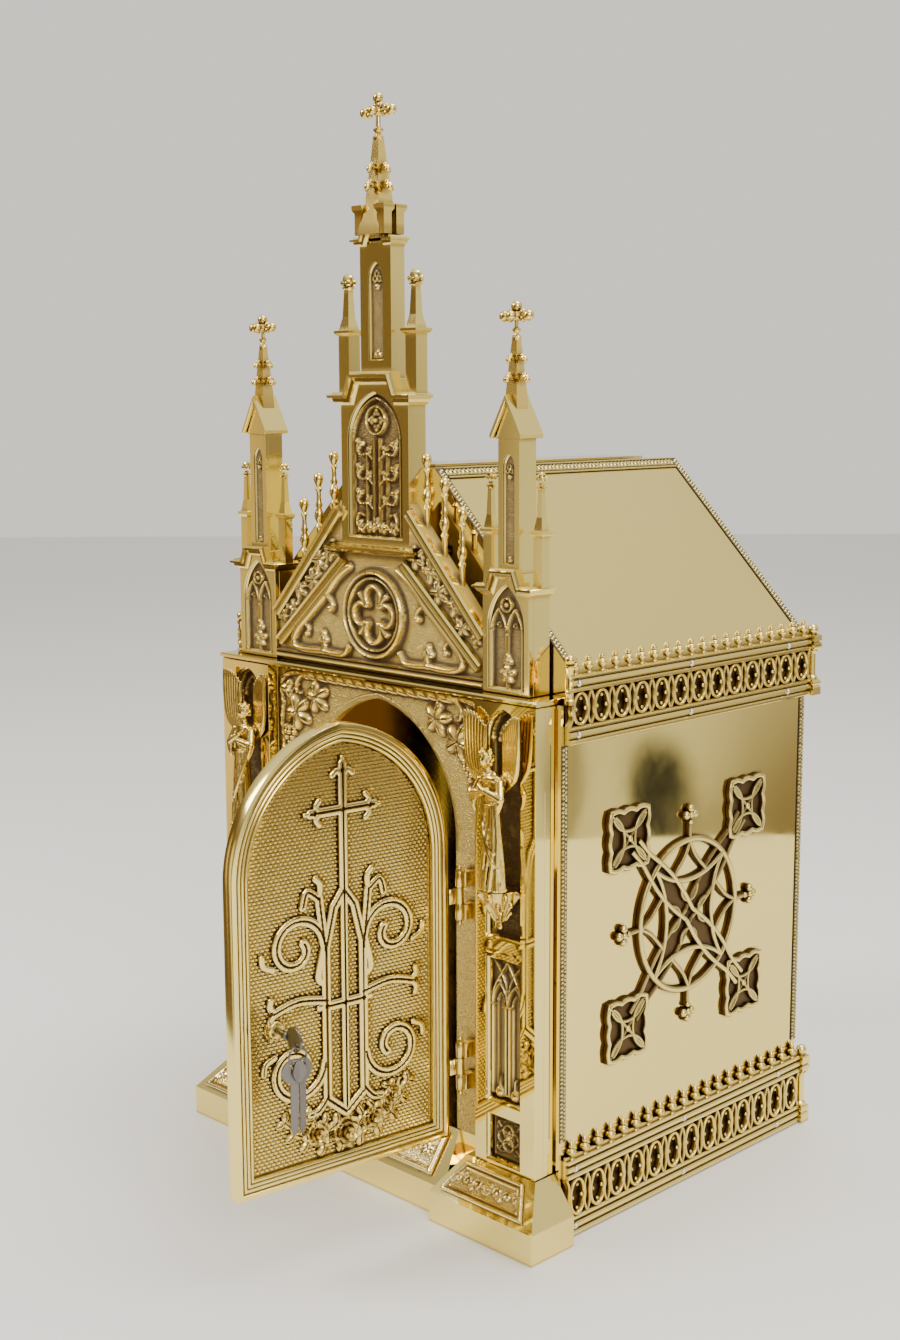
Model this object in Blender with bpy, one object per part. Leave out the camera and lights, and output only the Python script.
# Gothic altar tabernacle in cast and polished brass, with its door standing open.
# Metres, +Z up. The front faces -Y and the origin is the middle of the underside,
# on the plane of the pilaster faces.
import math

import bmesh
import bpy
from mathutils import Matrix, Vector
from mathutils.geometry import tessellate_polygon

for item in list(bpy.data.objects):
    bpy.data.objects.remove(item, do_unlink=True)

GAP = 0.0003
FLAT_ANGLE = 0.3

# Plinth
PLINTH_HALF = 0.2125
PLINTH_FACE = 0.0251
PLINTH_TOP = 0.0535
BLOCK_INNER = 0.100
BLOCK_OUT = 0.0268
MIDDLE_OUT = 0.0165
THRESHOLD = 0.0640

# Front frame
FRAME_HALF = 0.191
FRAME_DEPTH = 0.0225
FRAME_TOP = 0.4294
FIELD_SETBACK = 0.0135
PILASTER_INNER = 0.1264
PANEL_INNER = 0.1386
PANEL_OUTER = 0.1753
PANEL_RECESS = 0.0095
SQUARE_PANEL = (0.0570, 0.0965)
LANCET_PANEL = (0.1070, 0.2260)
NICHE_BASE = 0.2415
NICHE_SPRING = 0.4020
NICHE_APEX = 0.4245

# Door and its opening
DOOR_HALF = 0.0985
DOOR_BASE = 0.0689
DOOR_SPRING = 0.310
DOOR_RISE = 0.1113
DOOR_THICK = 0.0125
DOOR_LAP = 0.0085
DOOR_RIM = 0.0150
DOOR_FIELD = 0.0050
ORNAMENT_FACE = 0.0014
GARLAND_Z = 0.1340
GARLAND_HALF = 0.0520
GARLAND_DROP = 0.0360
HINGE_OFFSET = 0.0110
HINGE_HEIGHTS = (0.127, 0.269)
BARREL_RADIUS = 0.0036
BARREL_LENGTH = 0.0400
PIN_RADIUS = 0.0012
OPEN_ANGLE = math.radians(82.6)

# Case, roof and cornice
CASE_STEP = 0.005
CASE_HALF = FRAME_HALF + CASE_STEP
CASE_REAR = 0.3465
WALL = 0.003
CORNICE_HEIGHT = 0.0045
CORNICE_OUT = 0.0015
TOWER_STAND = 0.0350
FLOOR_TOP = THRESHOLD - 0.001
EAVES_RISE = 0.0232
EAVES = FRAME_TOP + EAVES_RISE
ROOF_TOP = 0.6037
ROOF_FLAT = 0.0477
CAP_PLATE_HALF = 0.0235
CAP_PLATE_THICK = 0.0018

# Galleries on both sides
GALLERY_REACH = 0.007
GALLERY_OUT = CASE_HALF + GALLERY_REACH
UPPER_LEVELS = (0.3985, 0.4130, 0.4387, 0.4526, 0.4669)
LOWER_LEVELS = (0.0, 0.0166, 0.0482, 0.0640, 0.0789)
GALLERY_UNITS = 13
CREST_TEETH = 20
POST_HALF = 0.0060
BALL_RADIUS = 0.0052

# Side medallion
MEDALLION_Y = 0.181
MEDALLION_Z = 0.2335
MEDALLION_RING = 0.064
MEDALLION_ARM = 0.079
MEDALLION_PANEL = 0.0235
MEDALLION_THICK = 0.004

# Gable
GABLE_BACK = FRAME_DEPTH
GABLE_SLOPE = 1.11
GABLE_EDGE_AT_AXIS = 0.6219
INNER_SLOPE = 0.889
INNER_APEX = 0.559
ROSE_Z = 0.4834
ROSE_RADIUS = 0.037

# Towers
SIDE_TOWER_X = 0.1505
SIDE_TOWER_FRONT = 0.0095
SIDE_TOWER_HALF = 0.0245
SIDE_CAP_Z = 0.5105
SIDE_CAP_PEAK = 0.5310
SIDE_SHAFT_SPRING = 0.6000
SIDE_PINNACLE_CAP = 0.5590
SIDE_PINNACLE_TOP = 0.6050
SIDE_SHAFT_HALF = 0.0110
SIDE_SHAFT_TOP = 0.6290
SIDE_GABLET_TOP = 0.6633
SIDE_NEEDLE_TOP = 0.7090
SIDE_CROSS_Z = 0.7205
SIDE_CROSS_ARM = 0.0167
SIDE_TOP = 0.7320
CENTRE_HALF = 0.0405
CENTRE_BASE_Z = 0.5330
CENTRE_SPRING = 0.6230
CENTRE_CAP_Z = 0.6550
CENTRE_CAP_PEAK = 0.6790
CENTRE_SHAFT_SPRING = 0.7480
CENTRE_PINNACLE_X = 0.0400
CENTRE_PINNACLE_CAP = 0.7135
CENTRE_PINNACLE_TOP = 0.7610
CENTRE_SHAFT_HALF = 0.0183
CENTRE_CAP2_Z = 0.7800
CENTRE_CAP2_PEAK = 0.7950
CENTRE_NEEDLE_TOP = 0.8690
CENTRE_CROSS_Z = 0.8850
CENTRE_CROSS_ARM = 0.0200
CENTRE_TOP = 0.900
TOWER_BACK = 0.0330

BRASS = (0.80, 0.62, 0.26)
PALE_BRASS = (0.88, 0.78, 0.50)
DARK_BRASS = (0.55, 0.38, 0.14)
STEEL = (0.42, 0.42, 0.44)


def metal(name, colour, roughness):
    material = bpy.data.materials.new(name)
    material.use_nodes = True
    shader = material.node_tree.nodes["Principled BSDF"]
    shader.inputs["Base Color"].default_value = (*colour, 1.0)
    shader.inputs["Metallic"].default_value = 1.0
    shader.inputs["Roughness"].default_value = roughness
    return material


CAST = metal("cast_brass", BRASS, 0.28)
POLISHED = metal("polished_brass", PALE_BRASS, 0.12)
ANTIQUE = metal("antique_brass", DARK_BRASS, 0.40)
KEY_STEEL = metal("key_steel", STEEL, 0.35)


# Solids are pairs of points and faces, closed by themselves.
def box(x0, x1, y0, y1, z0, z1):
    points = [(x, y, z) for z in (z0, z1) for y in (y0, y1) for x in (x0, x1)]
    faces = [(0, 1, 3, 2), (4, 5, 7, 6), (0, 1, 5, 4), (2, 3, 7, 6), (0, 2, 6, 4), (1, 3, 7, 5)]
    return points, faces


def loft(rings, closed=False):
    count = len(rings[0])
    points = [tuple(point) for ring in rings for point in ring]
    faces = []
    spans = len(rings) if closed else len(rings) - 1
    for row in range(spans):
        low = row * count
        high = (row + 1) % len(rings) * count
        for i in range(count):
            j = (i + 1) % count
            faces.append((low + i, low + j, high + j, high + i))
    if not closed:
        faces.append(tuple(range(count)))
        faces.append(tuple((len(rings) - 1) * count + i for i in range(count)))
    return points, faces


def plate(loops, y0, y1):
    # A flat piece cut to x-z outlines; the first is its edge and the rest are holes.
    flat = [Vector((x, z, 0.0)) for loop in loops for x, z in loop]
    triangles = tessellate_polygon([[Vector((x, z, 0.0)) for x, z in loop] for loop in loops])
    count = len(flat)
    points = [(p.x, y0, p.y) for p in flat] + [(p.x, y1, p.y) for p in flat]
    faces = [tuple(t) for t in triangles] + [tuple(i + count for i in t) for t in triangles]
    start = 0
    for loop in loops:
        size = len(loop)
        for i in range(size):
            a = start + i
            b = start + (i + 1) % size
            faces.append((a, b, b + count, a + count))
        start += size
    return points, faces


def turned(profile, centre, sides=8, stretch=(1.0, 1.0)):
    cx, cy, cz = centre
    points = []
    rows = []
    for radius, height in profile:
        if radius == 0.0:
            rows.append([len(points)])
            points.append((cx, cy, cz + height))
            continue
        rows.append(list(range(len(points), len(points) + sides)))
        for i in range(sides):
            turn = 2 * math.pi * (i + 0.5) / sides
            points.append((cx + radius * stretch[0] * math.cos(turn),
                           cy + radius * stretch[1] * math.sin(turn), cz + height))
    faces = []
    for low, high in zip(rows, rows[1:]):
        for i in range(sides):
            j = (i + 1) % sides
            corners = [low[i % len(low)], low[j % len(low)], high[j % len(high)], high[i % len(high)]]
            faces.append(tuple(dict.fromkeys(corners)))
    for row in (rows[0], rows[-1]):
        if len(row) > 1:
            faces.append(tuple(row))
    return points, faces


def ball(radius, centre, sides=8, rows=4):
    profile = [(radius * math.sin(math.pi * i / rows), -radius * math.cos(math.pi * i / rows))
               for i in range(rows + 1)]
    profile[0] = (0.0, -radius)
    profile[-1] = (0.0, radius)
    return turned(profile, centre, sides)


def tube(path, radii, sides=6, closed=False):
    spots = [Vector(point) for point in path]
    count = len(spots)
    rings = []
    side = None
    for i, spot in enumerate(spots):
        if closed:
            along = spots[(i + 1) % count] - spots[i - 1]
        else:
            along = spots[min(i + 1, count - 1)] - spots[max(i - 1, 0)]
        along.normalize()
        if side is None:
            helper = Vector((0.0, 0.0, 1.0)) if abs(along.z) < 0.9 else Vector((1.0, 0.0, 0.0))
            side = along.cross(helper)
        side = (side - along * side.dot(along)).normalized()
        up = along.cross(side)
        ring = []
        for k in range(sides):
            turn = 2 * math.pi * k / sides
            ring.append(spot + (side * math.cos(turn) + up * math.sin(turn)) * radii[i])
        rings.append(ring)
    return loft(rings, closed)


def moved(solid, matrix):
    return [tuple(matrix @ Vector(point)) for point in solid[0]], solid[1]


def mirrored(solid):
    return [(-x, y, z) for x, y, z in solid[0]], solid[1]


def on_side(solid, face_x):
    # Turns a piece drawn as (along, depth, height) to lie on the right-hand wall.
    return [(face_x - depth, along, height) for along, depth, height in solid[0]], solid[1]


def polygon(sides, radius, centre=(0.0, 0.0), turn=0.0):
    step = 2 * math.pi / sides
    return [(centre[0] + radius * math.cos(turn + i * step),
             centre[1] + radius * math.sin(turn + i * step)) for i in range(sides)]


def lobed(lobes, radius, depth, centre, steps=4, turn=0.0):
    count = lobes * steps
    points = []
    for i in range(count):
        angle = turn + 2 * math.pi * i / count
        reach = radius * (1.0 - depth * (0.5 - 0.5 * math.cos(lobes * (angle - turn))))
        points.append((centre[0] + reach * math.cos(angle), centre[1] + reach * math.sin(angle)))
    return points


def arch(half, rise, base, spring, steps, inset=0.0, centre=0.0):
    # Two-centred pointed arch, from the bottom right over the point to the bottom left.
    radius = (half ** 2 + rise ** 2) / (2 * half)
    shift = radius - half
    radius -= inset
    last = math.acos(shift / radius)
    right = []
    for i in range(steps + 1):
        turn = last * i / steps
        right.append((radius * math.cos(turn) - shift, spring + radius * math.sin(turn)))
    left = [(-x, z) for x, z in reversed(right[:-1])]
    outline = [(half - inset, base + inset)] + right + left + [(inset - half, base + inset)]
    return [(centre + x, z) for x, z in outline]


def ribbon(path, width, closed=False):
    # Outlines of a flat band that follows an x-z path.
    left = []
    right = []
    count = len(path)
    for i, (x, z) in enumerate(path):
        if closed:
            before, after = path[i - 1], path[(i + 1) % count]
        else:
            before, after = path[max(i - 1, 0)], path[min(i + 1, count - 1)]
        dx, dz = after[0] - before[0], after[1] - before[1]
        length = math.hypot(dx, dz)
        nx, nz = -dz / length * width / 2, dx / length * width / 2
        left.append((x + nx, z + nz))
        right.append((x - nx, z - nz))
    if closed:
        return [left, right]
    return [left + right[::-1]]


def scroll(centre, start, end, radius0, radius1, steps):
    points = []
    for i in range(steps + 1):
        share = i / steps
        turn = math.radians(start + (end - start) * share)
        reach = radius0 + (radius1 - radius0) * share
        points.append((centre[0] + reach * math.cos(turn), centre[1] + reach * math.sin(turn)))
    return points


def mesh_of(name, solids):
    mesh = bpy.data.meshes.new(name)
    shape = bmesh.new()
    for points, faces in solids:
        single = bmesh.new()
        corners = [single.verts.new(point) for point in points]
        for face in faces:
            single.faces.new([corners[i] for i in face])
        bmesh.ops.recalc_face_normals(single, faces=single.faces)
        patch = bpy.data.meshes.new("patch")
        single.to_mesh(patch)
        single.free()
        shape.from_mesh(patch)
        bpy.data.meshes.remove(patch)
    shape.to_mesh(mesh)
    shape.free()
    return mesh


def fused(name, solids):
    # One closed body from solids that overlap, by an exact union.
    base = bpy.data.objects.new(name + "_base", mesh_of(name, solids[:1]))
    tool = bpy.data.objects.new(name + "_tool", mesh_of(name + "_tool", solids[1:]))
    for item in (base, tool):
        bpy.context.scene.collection.objects.link(item)
    union = base.modifiers.new("Union", "BOOLEAN")
    union.operation = "UNION"
    union.solver = "EXACT"
    union.use_self = True
    union.object = tool
    evaluated = base.evaluated_get(bpy.context.evaluated_depsgraph_get())
    mesh = bpy.data.meshes.new_from_object(evaluated)
    for item in (base, tool):
        bpy.data.objects.remove(item, do_unlink=True)
    shape = bmesh.new()
    shape.from_mesh(mesh)
    bmesh.ops.remove_doubles(shape, verts=shape.verts, dist=0.00001)
    bmesh.ops.dissolve_limit(shape, angle_limit=math.radians(FLAT_ANGLE), verts=shape.verts,
                             edges=shape.edges)
    shape.to_mesh(mesh)
    shape.free()
    return mesh


def add(name, solids, material, smooth=None, parent=None):
    mesh = fused(name, solids) if len(solids) > 1 else mesh_of(name, solids)
    mesh.name = name
    mesh.materials.clear()
    mesh.materials.append(material)
    if smooth:
        mesh.shade_smooth()
        mesh.set_sharp_from_angle(angle=math.radians(smooth))
    item = bpy.data.objects.new(name, mesh)
    bpy.context.scene.collection.objects.link(item)
    item.parent = parent
    return item


def add_pair(name, solids, material, smooth=None):
    right = add(name + "_right", solids, material, smooth)
    mesh = right.data.copy()
    mesh.name = name + "_left"
    mesh.transform(Matrix.Scale(-1.0, 4, (1.0, 0.0, 0.0)))
    mesh.flip_normals()
    left = bpy.data.objects.new(name + "_left", mesh)
    bpy.context.scene.collection.objects.link(left)


# Plinth: two end blocks that stand out, a lower middle, and sloped upper faces.
def slope_panel(corners, inset, proud):
    # A raised panel on a four-cornered face, its corners in order round the face.
    middle = sum((Vector(c) for c in corners), Vector()) / 4
    normal = (Vector(corners[1]) - Vector(corners[0])).cross(Vector(corners[3]) - Vector(corners[0]))
    normal.normalize()
    flat = [middle + (Vector(c) - middle) * (1.0 - inset) for c in corners]
    return loft([[c - normal * 0.002 for c in flat], [c + normal * proud for c in flat]])


def plinth():
    solids = [box(-PLINTH_HALF, PLINTH_HALF, -MIDDLE_OUT, FRAME_DEPTH, 0.0, PLINTH_FACE)]
    inner_top = PILASTER_INNER - 0.010
    for side in (-1, 1):
        low = [(side * BLOCK_INNER, -BLOCK_OUT), (side * PLINTH_HALF, -BLOCK_OUT),
               (side * PLINTH_HALF, FRAME_DEPTH), (side * BLOCK_INNER, FRAME_DEPTH)]
        high = [(side * inner_top, 0.0), (side * (FRAME_HALF + 0.001), 0.0),
                (side * (FRAME_HALF + 0.001), FRAME_DEPTH), (side * inner_top, FRAME_DEPTH)]
        solids.append(loft([[(x, y, 0.0) for x, y in low], [(x, y, PLINTH_FACE) for x, y in low],
                            [(x, y, PLINTH_TOP) for x, y in high]]))
        face = [(side * BLOCK_INNER, -BLOCK_OUT, PLINTH_FACE), (side * PLINTH_HALF, -BLOCK_OUT, PLINTH_FACE),
                (side * FRAME_HALF, 0.0, PLINTH_TOP), (side * inner_top, 0.0, PLINTH_TOP)]
        solids.append(slope_panel(face if side > 0 else face[::-1], 0.28, 0.0015))
    low_x = BLOCK_INNER + 0.006
    top_x = BLOCK_INNER - 0.004
    top_y = FIELD_SETBACK - 0.001
    solids.append(loft([[(-low_x, -MIDDLE_OUT, 0.010), (low_x, -MIDDLE_OUT, 0.010),
                         (low_x, FRAME_DEPTH, 0.010), (-low_x, FRAME_DEPTH, 0.010)],
                        [(-low_x, -MIDDLE_OUT, PLINTH_FACE), (low_x, -MIDDLE_OUT, PLINTH_FACE),
                         (low_x, FRAME_DEPTH, PLINTH_FACE), (-low_x, FRAME_DEPTH, PLINTH_FACE)],
                        [(-top_x, top_y, THRESHOLD), (top_x, top_y, THRESHOLD),
                         (top_x, FRAME_DEPTH, THRESHOLD), (-top_x, FRAME_DEPTH, THRESHOLD)]]))
    back_x = PILASTER_INNER - GAP
    solids.append(box(-back_x, back_x, FIELD_SETBACK, FRAME_DEPTH, PLINTH_FACE, THRESHOLD))
    middle_face = [(-top_x, -MIDDLE_OUT, PLINTH_FACE), (top_x, -MIDDLE_OUT, PLINTH_FACE),
                   (top_x, top_y, THRESHOLD), (-top_x, top_y, THRESHOLD)]
    solids.append(slope_panel(middle_face, 0.22, 0.0015))
    add("plinth", solids, POLISHED)


# Front frame: the arched field, two panelled pilasters with tracery, rope, leaves and grapes.
def lancet_tracery(middle):
    low, high = LANCET_PANEL
    back, front = PANEL_RECESS + 0.0005, 0.0035
    spread = (PANEL_OUTER - PANEL_INNER) / 2
    spring = high - 0.034
    solids = []
    for place in (-0.84, 0.0, 0.84):
        x = middle + place * spread
        solids.append(box(x - 0.0017, x + 0.0017, front, back, low - 0.001, spring + 0.002))
    for place in (-0.42, 0.42):
        points = arch(spread * 0.40, 0.0140, 0.0, spring, 2, centre=middle + place * spread)
        solids.append(plate(ribbon(points[1:-1], 0.0028), front, back))
        solids.append(ball(0.0050, (middle + place * spread, PANEL_RECESS - 0.0015, low + 0.006), 4, 3))
    for side in (-1, 1):
        path = [(middle + side * spread * 0.84, spring + 0.001),
                (middle + side * spread * 0.60, spring + 0.014), (middle, high + 0.001)]
        solids.append(plate(ribbon(path, 0.0028), front, back))
    return solids


def grapes(x, z):
    solids = []
    for row in range(3):
        for i in range(3 - row):
            spot = (x + (i - (2 - row) / 2) * 0.0056, FIELD_SETBACK - 0.0015, z - row * 0.0056)
            solids.append(ball(0.0038, spot, 4, 2))
    return solids


def front_frame():
    middle = (PANEL_INNER + PANEL_OUTER) / 2
    panel_half = (PANEL_OUTER - PANEL_INNER) / 2
    field_x = PILASTER_INNER + 0.003
    opening = arch(DOOR_HALF, DOOR_RISE, THRESHOLD + GAP - DOOR_LAP, DOOR_SPRING, 7, inset=DOOR_LAP)
    outline = [(-field_x, FRAME_TOP), (-field_x, THRESHOLD + GAP)] + opening[::-1]
    outline += [(field_x, THRESHOLD + GAP), (field_x, FRAME_TOP)]
    solids = [plate([outline], FIELD_SETBACK, FRAME_DEPTH)]
    niche = arch(panel_half, NICHE_APEX - NICHE_SPRING, NICHE_BASE, NICHE_SPRING, 4, centre=middle)
    holes = [niche]
    for low, high in (SQUARE_PANEL, LANCET_PANEL):
        holes.append([(PANEL_INNER, low), (PANEL_OUTER, low), (PANEL_OUTER, high), (PANEL_INNER, high)])
    edge = [(PILASTER_INNER, PLINTH_TOP + GAP), (FRAME_HALF, PLINTH_TOP + GAP),
            (FRAME_HALF, FRAME_TOP), (PILASTER_INNER, FRAME_TOP)]
    pilaster = [plate([edge] + holes, 0.0, PANEL_RECESS + 0.001)]
    pilaster.append(box(PILASTER_INNER, FRAME_HALF, PANEL_RECESS, FRAME_DEPTH, PLINTH_TOP + GAP, FRAME_TOP))
    pilaster += lancet_tracery(middle)
    flower = (middle, sum(SQUARE_PANEL) / 2)
    pilaster.append(plate([lobed(4, 0.0145, 0.35, flower, 3), lobed(4, 0.0095, 0.35, flower, 2)], 0.0055,
                          PANEL_RECESS + 0.0005))
    pilaster.append(ball(0.0040, (flower[0], PANEL_RECESS - 0.001, flower[1]), 4, 2))
    for leaf_x, leaf_z, size, turn in ((0.0710, 0.4060, 0.0125, 0.5), (0.0990, 0.3920, 0.0140, 0.2)):
        leaf = lobed(5, size, 0.42, (leaf_x, leaf_z), 2, turn)
        pilaster.append(plate([leaf], FIELD_SETBACK - 0.0045, FIELD_SETBACK + 0.0010))
    pilaster += grapes(0.1120, 0.3700)
    for solid in pilaster:
        solids.append(solid)
        solids.append(mirrored(solid))
    rope = [(-PILASTER_INNER, 0.0030), (PILASTER_INNER, 0.0030)]
    rings = []
    for x, radius in rope:
        rings.append([(x, FIELD_SETBACK - 0.001 + radius * math.cos(math.pi * i / 2 + 0.785),
                       0.4250 + radius * math.sin(math.pi * i / 2 + 0.785)) for i in range(4)])
    solids.append(loft(rings))
    add("front_frame", solids, CAST)


# Foliate corbel and winged angel of each pilaster.
def corbel():
    middle = (PANEL_INNER + PANEL_OUTER) / 2
    sides = 12
    rings = []
    for height, reach in ((0.2520, 0.0030), (0.2570, 0.0065), (0.2620, 0.0060), (0.2720, 0.0120),
                          (0.2800, 0.0165), (0.2840, 0.0150)):
        ring = []
        for i in range(sides):
            turn = 2 * math.pi * i / sides
            leaf = reach * (1.0 + (0.16 if i % 2 else -0.12) * min(1.0, (height - 0.252) / 0.02))
            y = leaf * math.sin(turn)
            x = max(PANEL_INNER + GAP, middle - 0.002 + leaf * math.cos(turn))
            ring.append((x, min(y - 0.001, PANEL_RECESS - GAP), height))
        rings.append(ring)
    add_pair("corbel", [loft(rings)], CAST, smooth=50)


def angel():
    middle = (PANEL_INNER + PANEL_OUTER) / 2
    foot = 0.2840 + GAP
    height = 0.1120
    sides = 12
    rows = ((0.00, 0.0030, 0.0125, 0.0085, 0.10), (0.10, 0.0030, 0.0135, 0.0088, 0.16),
            (0.30, 0.0025, 0.0130, 0.0085, 0.18), (0.45, 0.0010, 0.0120, 0.0082, 0.14),
            (0.58, -0.0010, 0.0105, 0.0075, 0.08), (0.70, -0.0030, 0.0120, 0.0074, 0.04),
            (0.78, -0.0050, 0.0130, 0.0068, 0.02), (0.82, -0.0060, 0.0085, 0.0050, 0.0),
            (0.89, -0.0065, 0.0030, 0.0030, 0.0))
    rings = []
    for share, lean, wide, deep, fold in rows:
        ring = []
        for i in range(sides):
            turn = 2 * math.pi * i / sides
            swell = 1.0 + fold * math.cos(4 * turn + share * 2.0)
            ring.append((middle - 0.002 + lean * 0.6 + wide * swell * math.cos(turn),
                         -0.0075 + lean * 0.4 + deep * swell * math.sin(turn), foot + height * share))
        rings.append(ring)
    solids = [loft(rings)]
    head = (middle - 0.0065, -0.0105, foot + height * 0.915)
    solids.append(moved(ball(0.0075, (0, 0, 0), 6, 4),
                        Matrix.Translation(head) @ Matrix.Diagonal((0.82, 0.92, 1.12, 1.0))))
    solids.append(moved(ball(0.0085, (0, 0, 0), 6, 4),
                        Matrix.Translation((head[0], head[1] + 0.0022, head[2] + 0.0008))
                        @ Matrix.Diagonal((0.95, 0.85, 1.02, 1.0))))
    chest = foot + height * 0.64
    for side in (-1, 1):
        path = [(middle - 0.006 + side * 0.0125, -0.0085, foot + height * 0.765),
                (middle - 0.006 + side * 0.0145, -0.0125, chest + 0.001 * side),
                (middle - 0.006 + side * 0.0008, -0.0185, chest + 0.0075)]
        solids.append(tube(path, (0.0036, 0.0038, 0.0026), 5))
        root = middle - 0.004 + side * 0.004
        wing = [(root, foot + height * 0.70), (root + side * 0.0090, foot + height * 0.60),
                (root + side * 0.0185, foot + height * 0.86), (root + side * 0.0215, foot + height * 1.07),
                (root + side * 0.0190, foot + height * 1.215), (root + side * 0.0110, foot + height * 1.09),
                (root + side * 0.0030, foot + height * 0.88)]
        solids.append(plate([wing], -0.0050, -0.0010))
    add_pair("angel", solids, CAST, smooth=45)


# Cornice on the front frame and the case, where the towers stand.
def cornice():
    low = FRAME_TOP + GAP
    half = FRAME_HALF + 0.0015
    steps = ((0.0, 0.0, 0.0), (0.25, 1.0, 1.0), (0.70, 1.0, 1.0), (1.0, 0.45, 0.45))
    rings = []
    for rise, out, wide in steps:
        x = half - 0.0015 + 0.0015 * wide
        y = -CORNICE_OUT * out
        z = low + CORNICE_HEIGHT * rise
        rings.append([(-x, y, z), (x, y, z), (x, TOWER_STAND, z), (-x, TOWER_STAND, z)])
    add("cornice", [loft(rings)], POLISHED)


# Gable plate with its mouldings, rose, side leaves and a crest of turned finials.
def gable_edge(x):
    return GABLE_EDGE_AT_AXIS - GABLE_SLOPE * abs(x)


def finial_profile(height):
    return [(0.0024, 0.0), (0.0022, 0.32 * height), (0.0042, 0.40 * height), (0.0022, 0.48 * height),
            (0.0024, 0.72 * height), (0.0044, 0.84 * height), (0.0, height)]


def gable():
    low = FRAME_TOP + CORNICE_HEIGHT + 2 * GAP
    side_x = SIDE_TOWER_X - SIDE_TOWER_HALF - GAP
    neck_x = CENTRE_HALF + GAP
    ledge_x = CENTRE_HALF + 0.0142
    under = CENTRE_BASE_Z - GAP
    over = CENTRE_BASE_Z + 0.0075 + GAP
    right = [(side_x, low), (side_x, gable_edge(side_x)), (neck_x, gable_edge(neck_x)),
             (neck_x, over), (ledge_x, over), (ledge_x, under)]
    outline = right + [(-x, z) for x, z in reversed(right)]
    solids = [plate([outline], FIELD_SETBACK, GABLE_BACK)]
    front = FIELD_SETBACK - 0.006
    start_x = 0.0385
    end_x = side_x - 0.001
    for side in (-1, 1):
        inner = [(side * start_x, INNER_APEX - INNER_SLOPE * start_x),
                 (side * (side_x - 0.0040), INNER_APEX - INNER_SLOPE * (side_x - 0.0040))]
        solids.append(plate(ribbon(inner, 0.0085), front, FIELD_SETBACK + 0.001))
        outer = [(side * (neck_x + 0.0045), gable_edge(neck_x + 0.0045) - 0.0065),
                 (side * (side_x - 0.0045), gable_edge(side_x - 0.0045) - 0.0065)]
        solids.append(plate(ribbon(outer, 0.0080), front + 0.001, FIELD_SETBACK + 0.001))
        for x in (0.0560, 0.0760, 0.0955):
            foot = gable_edge(x) - 0.004
            solids.append(turned(finial_profile(0.056), (side * x, 0.0185, foot), 5))
        bud = lobed(3, 0.0130, 0.45, (side * 0.0720, 0.4600), 2, math.radians(90))
        solids.append(plate([bud], front + 0.002, FIELD_SETBACK + 0.001))
        for share in (0.3, 0.7):
            x = neck_x + (side_x - neck_x) * share
            z = (gable_edge(x) + INNER_APEX - INNER_SLOPE * x) / 2 - 0.003
            leaf = lobed(4, 0.0100, 0.40, (side * x, z), 2, 0.4)
            solids.append(plate([leaf], front + 0.003, FIELD_SETBACK + 0.001))
    base = [(-end_x, low + 0.0001), (end_x, low + 0.0001), (end_x, low + 0.0080), (-end_x, low + 0.0080)]
    solids.append(plate([base], front + 0.0015, FIELD_SETBACK + 0.001))
    rose = (0.0, ROSE_Z)
    solids.append(plate([polygon(16, ROSE_RADIUS, rose), polygon(16, ROSE_RADIUS - 0.006, rose)],
                        front - 0.001, FIELD_SETBACK + 0.001))
    solids.append(plate([polygon(8, ROSE_RADIUS - 0.004, rose, 0.1),
                         lobed(4, ROSE_RADIUS - 0.0110, 0.50, rose)], front + 0.0015, FIELD_SETBACK + 0.0015))
    add("gable", solids, CAST)


# Towers: panelled lower stage, a cap that rises to a gablet, a slim shaft and small pinnacles.
def cap_outline(half, shaft, raised, low, middle, top):
    right = [(shaft, low), (half, low + 0.0060), (half, middle), (shaft - 0.001, middle + 0.0020),
             (raised, top)]
    return right + [(-x, z) for x, z in reversed(right)]


def small_pinnacle(x, y, foot, cap, top, half):
    shaft = [(half, 0.0), (half, cap - foot - 0.002), (half * 1.45, cap - foot),
             (half * 1.45, cap - foot + 0.003), (half * 0.55, cap - foot + 0.005),
             (half * 0.50, top - foot - 0.016), (half * 1.25, top - foot - 0.009), (0.0, top - foot)]
    return turned([(r * math.sqrt(2), z) for r, z in shaft], (x, y, foot), 4)


def panelled_stage(half, front, back, low, high, rim, recess, spring, rise):
    hole = arch(half - rim, rise, low + rim, spring, 4)
    edge = [(-half, low), (half, low), (half, high), (-half, high)]
    return [plate([edge, hole], front, front + recess + 0.0005),
            box(-half + 0.00005, half - 0.00005, front + recess, back, low, high)]


def shifted(solids, x):
    return [moved(solid, Matrix.Translation((x, 0.0, 0.0))) for solid in solids]


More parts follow.
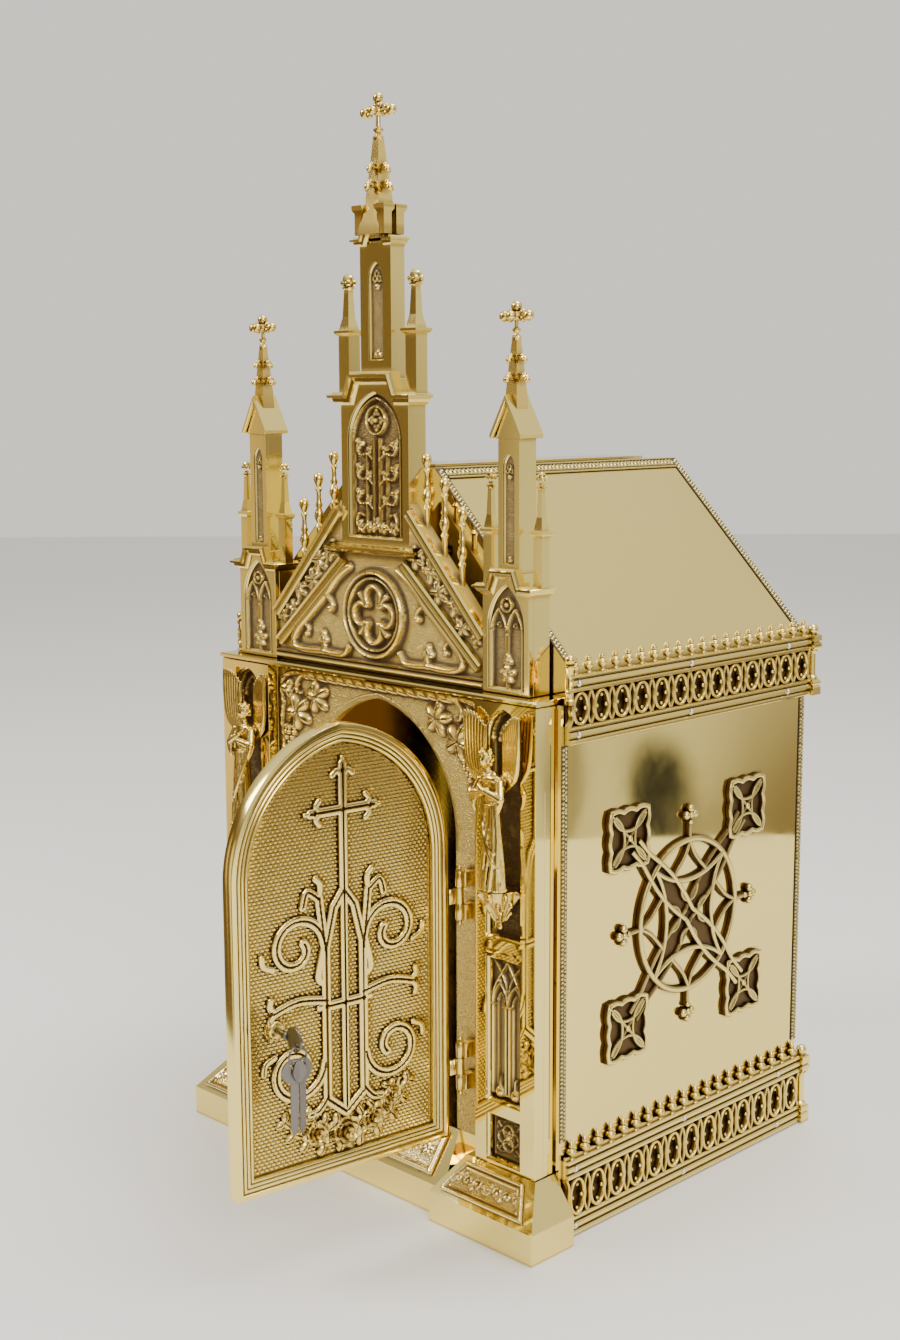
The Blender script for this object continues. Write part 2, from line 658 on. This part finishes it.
def side_tower():
    foot = FRAME_TOP + CORNICE_HEIGHT + 2 * GAP
    middle_y = (SIDE_TOWER_FRONT + TOWER_BACK) / 2
    solids = panelled_stage(SIDE_TOWER_HALF, SIDE_TOWER_FRONT, TOWER_BACK, foot, SIDE_CAP_Z + 0.002,
                            0.0055, 0.0045, foot + 0.050, 0.018)
    cap = cap_outline(SIDE_TOWER_HALF + 0.0070, SIDE_TOWER_HALF, SIDE_SHAFT_HALF + 0.0015, SIDE_CAP_Z,
                      SIDE_CAP_Z + 0.0075, SIDE_CAP_PEAK)
    solids.append(plate([cap], SIDE_TOWER_FRONT - 0.0065, TOWER_BACK + 0.0015))
    solids += panelled_stage(SIDE_SHAFT_HALF, SIDE_TOWER_FRONT + 0.0035, TOWER_BACK - 0.001,
                             SIDE_CAP_PEAK - 0.0020, SIDE_SHAFT_TOP + 0.002, 0.0035, 0.0030,
                             SIDE_SHAFT_SPRING, 0.0110)
    eave_x = SIDE_SHAFT_HALF + 0.0055
    gablet = [(eave_x, SIDE_SHAFT_TOP), (eave_x, SIDE_SHAFT_TOP + 0.004), (0.0, SIDE_GABLET_TOP),
              (-eave_x, SIDE_SHAFT_TOP + 0.004), (-eave_x, SIDE_SHAFT_TOP)]
    solids.append(plate([gablet], 0.0085, TOWER_BACK + 0.0015))
    solids.append(box(-0.0022, 0.0022, 0.0105, 0.0175, foot + 0.004, foot + 0.052))
    solids.append(plate([lobed(4, 0.0095, 0.4, (0.0, foot + 0.020), 2)], SIDE_TOWER_FRONT + 0.0005,
                        SIDE_TOWER_FRONT + 0.0055))
    for x in (-0.0262, 0.0262):
        solids.append(small_pinnacle(x, middle_y, SIDE_CAP_Z + 0.005, SIDE_PINNACLE_CAP, SIDE_PINNACLE_TOP,
                                     0.0043))
    return shifted(solids, SIDE_TOWER_X)


def cross_finial(neck, centre_z, arm, top, y, half):
    # A budded cross: two bars with a knob at each end, on a turned neck.
    solids = [box(-half, half, y - half, y + half, neck, top - 0.004),
              box(-arm + 0.003, arm - 0.003, y - half * 0.9, y + half * 0.9, centre_z - half,
                  centre_z + half)]
    for x, z in ((-arm + 0.004, centre_z), (arm - 0.004, centre_z), (0.0, top - 0.0042), (0.0, centre_z)):
        solids.append(ball(0.0046, (x, y, z), 4, 2))
    solids.append(turned([(half * 1.6, 0.0), (half * 2.4, 0.0030), (half * 1.6, 0.0060)],
                         (0.0, y, neck - 0.002), 6))
    return solids


def spire_needle(centre_y, foot, height, half, knobs, knob):
    # A square needle that swells into leafy crockets at each height in knobs.
    slim = half * 0.42
    profile = [(half, 0.0)]
    for rise in knobs:
        share = rise / height
        radius = half + (slim - half) * share
        profile += [(radius, rise - knob), (radius + knob * 0.9, rise + knob * 0.2),
                    (radius * 0.8, rise + knob)]
    profile.append((slim, height))
    return turned([(radius * math.sqrt(2), rise) for radius, rise in profile], (0.0, centre_y, foot), 4)


def side_spire():
    middle_y = (0.0085 + TOWER_BACK + 0.0015) / 2
    foot = SIDE_GABLET_TOP + GAP
    solids = [spire_needle(middle_y, foot, SIDE_NEEDLE_TOP - foot, 0.0052, (0.0085, 0.0255), 0.0040)]
    solids += cross_finial(SIDE_NEEDLE_TOP - 0.0015, SIDE_CROSS_Z, SIDE_CROSS_ARM, SIDE_TOP, middle_y,
                           0.0019)
    return shifted(solids, SIDE_TOWER_X)


def centre_tower():
    front = FIELD_SETBACK
    middle_y = (front + TOWER_BACK) / 2
    foot = CENTRE_BASE_Z
    base = [(-CENTRE_HALF - 0.0080, front - 0.0045, foot), (CENTRE_HALF + 0.0080, front - 0.0045, foot),
            (CENTRE_HALF + 0.0080, TOWER_BACK, foot), (-CENTRE_HALF - 0.0080, TOWER_BACK, foot)]
    wide = [(-CENTRE_HALF - 0.0135, front - 0.0095, foot + 0.0035),
            (CENTRE_HALF + 0.0135, front - 0.0095, foot + 0.0035),
            (CENTRE_HALF + 0.0135, TOWER_BACK, foot + 0.0035),
            (-CENTRE_HALF - 0.0135, TOWER_BACK, foot + 0.0035)]
    solids = [loft([base, wide, [(x, y, foot + 0.0075) for x, y, z in wide]])]
    solids += panelled_stage(CENTRE_HALF, front, TOWER_BACK - 0.0005, foot + 0.007, CENTRE_CAP_Z + 0.002,
                             0.0080, 0.0055, CENTRE_SPRING, 0.0270)
    cap = cap_outline(CENTRE_HALF + 0.0140, CENTRE_HALF, 0.0225, CENTRE_CAP_Z, CENTRE_CAP_Z + 0.008,
                      CENTRE_CAP_PEAK)
    solids.append(plate([cap], front - 0.0100, TOWER_BACK + 0.0015))
    solids += panelled_stage(CENTRE_SHAFT_HALF, front + 0.0030, TOWER_BACK - 0.001,
                             CENTRE_CAP_PEAK - 0.0020, CENTRE_CAP2_Z + 0.002, 0.0050, 0.0040,
                             CENTRE_SHAFT_SPRING, 0.0150)
    cap = cap_outline(CENTRE_SHAFT_HALF + 0.0073, CENTRE_SHAFT_HALF, 0.0120, CENTRE_CAP2_Z,
                      CENTRE_CAP2_Z + 0.0065, CENTRE_CAP2_PEAK)
    solids.append(plate([cap], front - 0.0040, TOWER_BACK + 0.0010))
    for x in (-CENTRE_PINNACLE_X, CENTRE_PINNACLE_X):
        solids.append(small_pinnacle(x, middle_y, CENTRE_CAP_Z + 0.006, CENTRE_PINNACLE_CAP,
                                     CENTRE_PINNACLE_TOP, 0.0062))
    inside = front + 0.0060
    for side in (-1, 1):
        solids.append(box(side * 0.0125 - 0.0018, side * 0.0125 + 0.0018, front + 0.0015, inside,
                          foot + 0.0170, CENTRE_SPRING - 0.0010))
        for z, start in ((foot + 0.0450, 250), (foot + 0.0730, 110)):
            curl = scroll((side * 0.0175, z), start, start + 230 * side, 0.0062, 0.0036, 4)
            solids.append(plate(ribbon(curl, 0.0026), front + 0.0015, inside))
    for size, z in ((0.0110, CENTRE_SPRING + 0.0090), (0.0100, foot + 0.0310)):
        solids.append(plate([lobed(4, size, 0.45, (0.0, z), 2)], front + 0.0015, inside))
    solids.append(box(-0.0016, 0.0016, front + 0.0015, inside, foot + 0.0150, CENTRE_SPRING + 0.0120))
    add("centre_tower", solids, CAST)


def centre_spire():
    middle_y = 0.0215
    foot = CENTRE_CAP2_PEAK + GAP
    solids = [spire_needle(middle_y, foot, CENTRE_NEEDLE_TOP - foot, 0.0110, (0.0275, 0.0470), 0.0048)]
    for dx in (-1, 1):
        for dy in (-1, 1):
            post = [(0.0055, 0.0), (0.0085, 0.014), (0.0060, 0.0175)]
            solids.append(turned(post, (dx * 0.0110, middle_y + dy * 0.0065, foot), 4))
    solids += cross_finial(CENTRE_NEEDLE_TOP - 0.0025, CENTRE_CROSS_Z, CENTRE_CROSS_ARM, CENTRE_TOP,
                           middle_y, 0.0024)
    add("centre_spire", solids, CAST, smooth=35)


# Case: an open-fronted box of sheet with a floor at the level of the threshold.
def case():
    front = FRAME_DEPTH + GAP
    outer = [(-CASE_HALF, front), (CASE_HALF, front), (CASE_HALF, CASE_REAR), (-CASE_HALF, CASE_REAR)]
    inner_x = CASE_HALF - WALL
    inner = [(-inner_x, front), (inner_x, front), (inner_x, CASE_REAR - WALL), (-inner_x, CASE_REAR - WALL)]
    low, high = 0.0, FRAME_TOP
    points = [(x, y, low) for x, y in outer] + [(x, y, high) for x, y in outer]
    points += [(x, y, low + WALL) for x, y in inner] + [(x, y, high - WALL) for x, y in inner]
    faces = [(0, 1, 2, 3), (4, 5, 6, 7), (1, 2, 6, 5), (2, 3, 7, 6), (3, 0, 4, 7),
             (8, 9, 10, 11), (12, 13, 14, 15), (9, 10, 14, 13), (10, 11, 15, 14), (11, 8, 12, 15),
             (0, 1, 9, 8), (1, 5, 13, 9), (5, 4, 12, 13), (4, 0, 8, 12)]
    add("case", [(points, faces)], POLISHED)
    floor_x = inner_x - GAP
    add("inner_floor", [box(-floor_x, floor_x, front, CASE_REAR - WALL - GAP, FLOOR_TOP - WALL, FLOOR_TOP)],
        POLISHED)


# Roof: a hollow shell, open below, with a flat top and a low plate on it.
def roof_section(inset, foot):
    run = CASE_HALF - ROOF_FLAT
    rise = ROOF_TOP - EAVES
    tilt = math.atan2(rise, run)
    slip = inset * math.tan(tilt / 2)
    right = [(CASE_HALF - inset, foot), (CASE_HALF - inset, EAVES - slip),
             (ROOF_FLAT - slip, ROOF_TOP - inset)]
    return right + [(-x, z) for x, z in reversed(right)]


def roof():
    front = TOWER_STAND + GAP
    foot = FRAME_TOP + GAP
    rings = [[(x, y, z) for x, z in roof_section(inset, foot)]
             for inset, y in ((0.0, front), (0.0, CASE_REAR), (WALL, CASE_REAR - WALL), (WALL, front + WALL))]
    points = [point for ring in rings for point in ring]
    faces = []
    for i in range(5):
        faces.append((i, i + 1, 7 + i, 6 + i))
        faces.append((12 + i, 13 + i, 19 + i, 18 + i))
    faces += [tuple(range(6)), tuple(range(6, 12)), tuple(range(12, 18)), tuple(range(18, 24))]
    faces += [(0, 6, 12, 18), (5, 11, 17, 23), (0, 18, 23, 5), (6, 12, 17, 11)]
    add("roof", [(points, faces)], POLISHED)
    plate_z = ROOF_TOP + GAP
    add("roof_plate", [box(-CAP_PLATE_HALF, CAP_PLATE_HALF, 0.060, CASE_REAR - 0.0170, plate_z,
                           plate_z + CAP_PLATE_THICK)], POLISHED)


def slope_bar(u0, u1, y0, y1, thick):
    # A strip on the right-hand slope, between two distances up from the eaves.
    eave = Vector((CASE_HALF, 0.0, EAVES))
    ridge = Vector((ROOF_FLAT, 0.0, ROOF_TOP))
    up = (ridge - eave).normalized()
    out = Vector((-up.z, 0.0, up.x)) * -1.0
    rings = []
    for lift in (GAP, GAP + thick):
        ring = []
        for u, y in ((u0, y0), (u1, y0), (u1, y1), (u0, y1)):
            spot = eave + up * u + out * lift
            ring.append((spot.x, y, spot.z))
        rings.append(ring)
    return loft(rings)


def strips():
    length = math.hypot(CASE_HALF - ROOF_FLAT, ROOF_TOP - EAVES)
    front = TOWER_STAND + GAP
    add_pair("ridge_strip", [slope_bar(length - 0.0115, length - 0.0005, front + 0.0080, CASE_REAR - 0.0080,
                                       0.0012)], ANTIQUE)
    add_pair("front_rake_strip", [slope_bar(0.004, length - 0.0005, front, front + 0.0077, 0.0012)], ANTIQUE)
    add_pair("rear_rake_strip", [slope_bar(0.004, length - 0.0005, CASE_REAR - 0.0077, CASE_REAR, 0.0012)],
             ANTIQUE)
    low = LOWER_LEVELS[4] + 0.001
    high = UPPER_LEVELS[0] - 0.001
    face = CASE_HALF + GAP
    for name, y0 in (("front_edge_strip", FRAME_DEPTH + GAP), ("rear_edge_strip", CASE_REAR - 0.0070)):
        add_pair(name, [box(face, face + 0.0014, y0, y0 + 0.0070, low, high)], ANTIQUE)


# Galleries: two rails, a pierced band between them and a crest of teeth.
def gallery(levels):
    foot, band_low, band_high, rail_top, crest_top = levels
    start = FRAME_DEPTH + GAP + 0.0040
    end = CASE_REAR
    deep = GALLERY_OUT - CASE_HALF - GAP
    pitch = (end - start) / GALLERY_UNITS
    edge = [(start, band_low - 0.001), (end, band_low - 0.001), (end, band_high + 0.001),
            (start, band_high + 0.001)]
    holes = []
    middle = (band_low + band_high) / 2
    reach = (band_high - band_low) / 2 - 0.0020
    for i in range(GALLERY_UNITS):
        u = start + (i + 0.5) * pitch
        holes.append([(u - pitch * 0.36, middle), (u, middle - reach), (u + pitch * 0.36, middle),
                      (u, middle + reach)])
    solids = [plate([edge] + holes, deep * 0.42, deep)]
    for low, high in ((foot, band_low), (band_high, rail_top)):
        bead = (high - low) * 0.30
        section = [(0.0015, low), (0.0, low + bead), (0.0, high - bead), (0.0015, high), (deep, high),
                   (deep, low)]
        solids.append(loft([[(u, depth, z) for depth, z in section] for u in (start, end)]))
    teeth = [(start + 0.0002, rail_top - 0.001)]
    step = (end - start) / CREST_TEETH
    for i in range(CREST_TEETH):
        u = start + i * step
        teeth += [(u + step * 0.5, crest_top), (u + step, rail_top + 0.0015)]
    teeth[-1] = (end - 0.0002, rail_top - 0.001)
    solids.append(plate([teeth], deep * 0.35, deep * 0.85))
    return [on_side(solid, GALLERY_OUT) for solid in solids]


def corner_post(levels, y):
    foot, band_low, band_high, rail_top = levels[:4]
    half = POST_HALF
    profile = [(half, 0.0), (half, band_low - foot - 0.003), (half * 0.62, band_low - foot),
               (half * 0.62, band_high - foot), (half, band_high - foot + 0.003),
               (half, rail_top - foot - 0.001), (half * 0.45, rail_top - foot)]
    centre = (CASE_HALF + 0.0035, y, foot)
    square = [(r * math.sqrt(2), z) for r, z in profile]
    return [turned(square, centre, 4),
            ball(BALL_RADIUS, (centre[0], y, rail_top + BALL_RADIUS * 0.7), 6, 3)]


# Side medallion: a ring and a saltire of strapwork with four square ends and four buds.
def medallion():
    solids = []
    centre = (MEDALLION_Y, MEDALLION_Z)
    back = MEDALLION_THICK
    ring = polygon(16, MEDALLION_RING, centre, math.pi / 16)
    solids.append(plate(ribbon(ring, 0.0056, closed=True), 0.0, back))
    for turn in (45, 135, 225, 315):
        c, s = math.cos(math.radians(turn)), math.sin(math.radians(turn))
        for offset in (-0.0085, 0.0085):
            path = [(centre[0] + c * d - s * offset, centre[1] + s * d + c * offset)
                    for d in (0.0, MEDALLION_ARM * 1.10)]
            solids.append(plate(ribbon(path, 0.0042), 0.0, back))
        spot = (centre[0] + math.copysign(MEDALLION_ARM, c), centre[1] + math.copysign(MEDALLION_ARM, s))
        half = MEDALLION_PANEL
        outer = polygon(4, half * math.sqrt(2), spot, math.radians(45))
        inner = polygon(4, (half - 0.0055) * math.sqrt(2), spot, math.radians(45))
        solids.append(plate([outer, inner], 0.0, back))
    for turn in (0, 90, 180, 270):
        c, s = math.cos(math.radians(turn)), math.sin(math.radians(turn))
        bud = lobed(3, 0.0120, 0.35, (centre[0] + c * 0.087, centre[1] + s * 0.087), 2, math.radians(turn))
        stem = [(centre[0] + c * d, centre[1] + s * d) for d in (0.060, 0.085)]
        solids.append(plate([bud], 0.0, back))
        solids.append(plate(ribbon(stem, 0.0070), 0.0, back))
    return [on_side(solid, CASE_HALF + GAP + MEDALLION_THICK) for solid in solids]


# Door, drawn closed about its own middle, then hung open on the hinge line.
def door_pivot():
    pivot = bpy.data.objects.new("door_pivot", None)
    bpy.context.scene.collection.objects.link(pivot)
    pivot.location = (DOOR_HALF + HINGE_OFFSET, 0.0, 0.0)
    pivot.rotation_euler = (0.0, 0.0, OPEN_ANGLE)
    return pivot


def on_door(solids):
    slide = Matrix.Translation((-DOOR_HALF - HINGE_OFFSET, 0.0, 0.0))
    return [moved(solid, slide) for solid in solids]


def door_leaf(pivot):
    sections = ((0.0, DOOR_THICK), (0.0, 0.0), (0.0042, 0.0), (0.0056, 0.0016), (0.0080, 0.0006),
                (0.0125, 0.0016), (DOOR_RIM, 0.0046), (DOOR_RIM, DOOR_THICK))
    rings = []
    for inset, y in sections:
        outline = arch(DOOR_HALF, DOOR_RISE, DOOR_BASE, DOOR_SPRING, 7, inset=inset)
        rings.append([(x, y, z) for x, z in outline])
    add("door_frame", on_door([loft(rings, closed=True)]), POLISHED, smooth=40, parent=pivot)
    field = arch(DOOR_HALF, DOOR_RISE, DOOR_BASE, DOOR_SPRING, 7, inset=DOOR_RIM + GAP)
    add("door_panel", on_door([plate([field], DOOR_FIELD, DOOR_THICK - 0.001)]), CAST, parent=pivot)


def door_ornament(pivot):
    # A trefoil-ended cross above a mirrored spray of scrolls round a tall lancet.
    back = DOOR_FIELD - GAP
    solids = [plate(ribbon([(0.0, 0.2900), (0.0, 0.3840)], 0.0070), ORNAMENT_FACE, back),
              plate(ribbon([(-0.0240, 0.3550), (0.0240, 0.3550)], 0.0070), ORNAMENT_FACE, back)]
    for x, z, turn in ((0.0, 0.3850, 90), (0.0240, 0.3550, 0), (-0.0240, 0.3550, 180)):
        solids.append(plate([lobed(3, 0.0085, 0.35, (x, z), 3, math.radians(turn))], ORNAMENT_FACE, back))
    lancet = [(0.0165, 0.1300), (0.0165, 0.2500), (0.0090, 0.2800), (0.0, 0.2960),
              (-0.0090, 0.2800), (-0.0165, 0.2500), (-0.0165, 0.1300), (0.0, 0.1140)]
    solids.append(plate(ribbon(lancet, 0.0070, closed=True), ORNAMENT_FACE, back))
    solids.append(plate(ribbon([(0.0, 0.1150), (0.0, 0.2920)], 0.0060), ORNAMENT_FACE, back))
    for side in (-1, 1):
        parts = [scroll((side * 0.0420, 0.2560), 180 if side > 0 else 0, 180 - 400 if side > 0 else 400,
                        0.0250, 0.0060, 9),
                 scroll((side * 0.0440, 0.1580), 180 if side > 0 else 0, 180 + 410 if side > 0 else -410,
                        0.0260, 0.0060, 9),
                 [(side * 0.0165, 0.2180), (side * 0.0420, 0.2225), (side * 0.0640, 0.2180)],
                 [(side * 0.0170, 0.2440), (side * 0.0250, 0.2750), (side * 0.0360, 0.2940)]]
        for i, path in enumerate(parts):
            solids.append(plate(ribbon(path, 0.0062 if i < 2 else 0.0052), ORNAMENT_FACE, back))
        solids.append(plate([lobed(3, 0.0075, 0.35, (side * 0.0670, 0.2180), 3,
                                   0.0 if side > 0 else math.pi)], ORNAMENT_FACE, back))
    add("door_ornament", on_door(solids), CAST, parent=pivot)


def door_garland(pivot):
    back = DOOR_FIELD - GAP
    solids = []
    path = []
    for i in range(6):
        turn = math.radians(-150 + 120 * i / 5)
        path.append((GARLAND_HALF * math.cos(turn), GARLAND_Z + GARLAND_DROP * math.sin(turn)))
    solids.append(plate(ribbon(path, 0.0075), 0.0030, back))
    for i in range(5):
        turn = math.radians(-146 + 112 * i / 4)
        x, z = GARLAND_HALF * math.cos(turn), GARLAND_Z + GARLAND_DROP * math.sin(turn)
        size = 0.0100 - 0.0014 * abs(i - 2)
        dome = turned([(size, 0.0), (size * 0.85, 0.0030), (size * 0.40, 0.0050), (0.0, 0.0040)],
                      (0.0, 0.0, 0.0), 7)
        place = Matrix.Translation((x, back - 0.0001 * i, z)) @ Matrix.Rotation(math.pi / 2, 4, "X")
        solids.append(moved(dome, place))
        if i < 4:
            turn += math.radians(14)
            spot = ((GARLAND_HALF + 0.003) * math.cos(turn),
                    GARLAND_Z + (GARLAND_DROP + 0.0045) * math.sin(turn))
            leaf = lobed(3, 0.0085, 0.5, spot, 2, turn)
            solids.append(plate([leaf], 0.0025, back))
    add("door_garland", on_door(solids), CAST, parent=pivot)


# Lock with a key in it and two more keys on a ring that hangs from the first.
LOCK_X = -0.0625
LOCK_Z = 0.1960
KEY_THICK = 0.0018
KEY_HEAD = 0.0095
KEY_LENGTH = 0.0540
KEY_EYE_DROP = 0.0050
RING_RADIUS = 0.0075
RING_WIRE = 0.0008


def key_blank():
    # A flat key hanging in the y-z plane from its eyelet at the origin.
    head = [(y, z - KEY_HEAD + KEY_EYE_DROP) for y, z in polygon(8, KEY_HEAD, turn=0.393)]
    neck = KEY_EYE_DROP - 2 * KEY_HEAD + 0.0012
    eyelet = polygon(6, 0.0028, turn=0.2)
    bow = plate([head, eyelet], -KEY_THICK / 2, KEY_THICK / 2)
    blade = [(0.0030, neck + 0.003), (0.0030, -KEY_LENGTH + 0.004), (0.0, -KEY_LENGTH),
             (-0.0022, -KEY_LENGTH + 0.003), (-0.0022, -KEY_LENGTH + 0.012), (-0.0034, -KEY_LENGTH + 0.015),
             (-0.0034, neck + 0.003)]
    return [bow, plate([blade], -KEY_THICK / 2 + 0.0003, KEY_THICK / 2 - 0.0003)]


def lock_and_keys(pivot):
    back = DOOR_FIELD - GAP
    rosette = turned([(0.0095, 0.0), (0.0095, 0.0030), (0.0070, 0.0052), (0.0050, 0.0056)], (0, 0, 0), 8)
    lay = Matrix.Translation((LOCK_X, back, LOCK_Z)) @ Matrix.Rotation(math.pi / 2, 4, "X")
    add("lock_rosette", on_door([moved(rosette, lay)]), CAST, smooth=40, parent=pivot)
    face = back - 0.0056 - GAP
    reach = 0.0150
    shank = moved(turned([(0.0024, 0.0), (0.0024, reach)], (0, 0, 0), 8),
                  Matrix.Translation((LOCK_X, face, LOCK_Z)) @ Matrix.Rotation(math.pi / 2, 4, "X"))
    bow_y = face - reach - KEY_HEAD + 0.0015
    eye = (bow_y - 0.0040, LOCK_Z - 0.0040)
    outline = [(y + bow_y, z + LOCK_Z) for y, z in polygon(8, KEY_HEAD)]
    bow = plate([outline, polygon(6, 0.0028, eye, 0.2)], -KEY_THICK / 2, KEY_THICK / 2)
    bow = [(LOCK_X + depth, along, height) for along, depth, height in bow[0]], bow[1]
    add("lock_key", on_door([bow, shank]), KEY_STEEL, parent=pivot)
    ring_z = eye[1] - RING_RADIUS
    circle = [(LOCK_X + x, eye[0], ring_z + z) for x, z in polygon(12, RING_RADIUS, turn=0.1)]
    add("key_ring", on_door([tube(circle, [RING_WIRE] * 12, 4, closed=True)]), KEY_STEEL, smooth=60,
        parent=pivot)
    for name, around, swing in (("spare_key_front", 62, 12), ("spare_key_rear", 118, -16)):
        turn = math.radians(-around)
        spot = (LOCK_X + RING_RADIUS * math.cos(turn), eye[0], ring_z + RING_RADIUS * math.sin(turn))
        place = Matrix.Translation(spot) @ Matrix.Rotation(math.radians(swing), 4, "Z")
        place = place @ Matrix.Rotation(math.pi / 2, 4, "Z")
        key = add(name, key_blank(), KEY_STEEL, parent=pivot)
        key.matrix_local = Matrix.Translation((-DOOR_HALF - HINGE_OFFSET, 0.0, 0.0)) @ place


# Hinges: the frame carries the outer knuckles and the pin, the door the middle one.
def hinges(pivot):
    third = BARREL_LENGTH / 3
    axis_x = DOOR_HALF + HINGE_OFFSET
    for name, z in zip(("lower", "upper"), HINGE_HEIGHTS):
        base = z - BARREL_LENGTH / 2
        radius, pin = BARREL_RADIUS, PIN_RADIUS
        profile = [(0.0, -0.0050), (radius * 0.62, -0.0036), (radius * 0.40, -0.0012), (radius, 0.0),
                   (radius, third), (pin, third), (pin, 2 * third), (radius, 2 * third),
                   (radius, BARREL_LENGTH),
                   (radius * 0.40, BARREL_LENGTH + 0.0012), (radius * 0.62, BARREL_LENGTH + 0.0036),
                   (0.0, BARREL_LENGTH + 0.0050)]
        solids = [turned(profile, (axis_x, 0.0, base), 8)]
        for low in (0.0, 2 * third):
            solids.append(box(axis_x - 0.0022, axis_x + 0.0060, 0.0010, FIELD_SETBACK - GAP,
                              base + low + 0.0004, base + low + third - 0.0004))
        add("hinge_frame_" + name, solids, CAST, smooth=40)
        bore = pin + GAP
        low, high = third + GAP, 2 * third - GAP
        turns = [2 * math.pi * (i + 0.5) / 8 for i in range(8)]
        ring = [[(reach * math.cos(turn), reach * math.sin(turn), base + height) for turn in turns]
                for reach, height in ((radius, low), (radius, high), (bore, high), (bore, low))]
        leaf = box(-HINGE_OFFSET + GAP, -radius * 0.7, -0.0008, 0.0022, base + low + 0.0002,
                   base + high - 0.0002)
        add("hinge_door_" + name, [loft(ring, closed=True), leaf], CAST, smooth=40, parent=pivot)


plinth()
front_frame()
corbel()
angel()
cornice()
gable()
add_pair("side_tower", side_tower(), CAST)
add_pair("side_spire", side_spire(), CAST, smooth=35)
centre_tower()
centre_spire()
case()
roof()
strips()
add_pair("upper_gallery", gallery(UPPER_LEVELS), CAST)
add_pair("lower_gallery", gallery(LOWER_LEVELS), CAST)
post_y = CASE_REAR + GAP + POST_HALF
add_pair("upper_rear_post", corner_post(UPPER_LEVELS, post_y), CAST)
add_pair("lower_rear_post", corner_post(LOWER_LEVELS, post_y), CAST)
add_pair("medallion", medallion(), CAST)
hung = door_pivot()
door_leaf(hung)
door_ornament(hung)
door_garland(hung)
lock_and_keys(hung)
hinges(hung)
